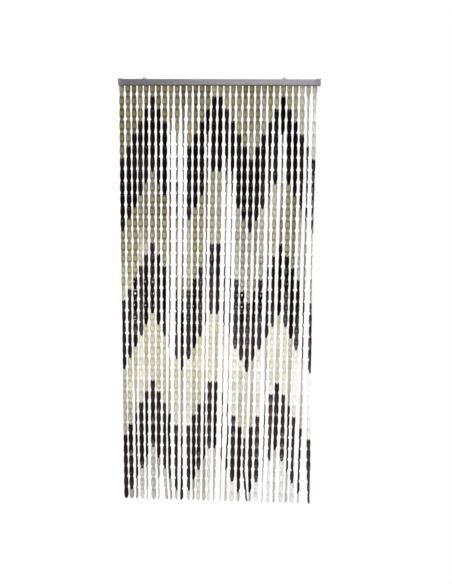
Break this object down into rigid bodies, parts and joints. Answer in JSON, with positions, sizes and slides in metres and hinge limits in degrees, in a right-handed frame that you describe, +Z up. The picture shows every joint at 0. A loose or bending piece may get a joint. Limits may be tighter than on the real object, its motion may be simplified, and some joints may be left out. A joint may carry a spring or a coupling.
{
  "type": "fly screen curtain with its head rail",
  "caption": "Fly screen door curtain: strands of flat moulded plastic links in a brown and cream chevron, hanging from an aluminium head rail.",
  "frame": {"origin": "middle of the head rail's top face", "axes": "+X along the rail, +Y towards the wall or doorway behind the curtain, +Z up"},
  "size_m": [0.9027, 0.0246, 1.9956],
  "materials": {
    "satin_aluminium": "satin anodised extrusion",
    "grey_plastic": "moulded, fine matt",
    "zinc_steel": "zinc plated pressing",
    "cream_plastic": "translucent moulded plastic, cream to olive",
    "brown_plastic": "opaque moulded plastic, dark brown"
  },
  "bodies": {
    "root": {"rail": "satin_aluminium", "end_cap_left": "grey_plastic", "end_cap_right": "grey_plastic", "hanger_left": "zinc_steel", "hanger_right": "zinc_steel", "strands_1": "cream_plastic", "strands_2": "cream_plastic", "strands_3": "cream_plastic", "strands_4": "cream_plastic"}
  },
  "joints": []
}
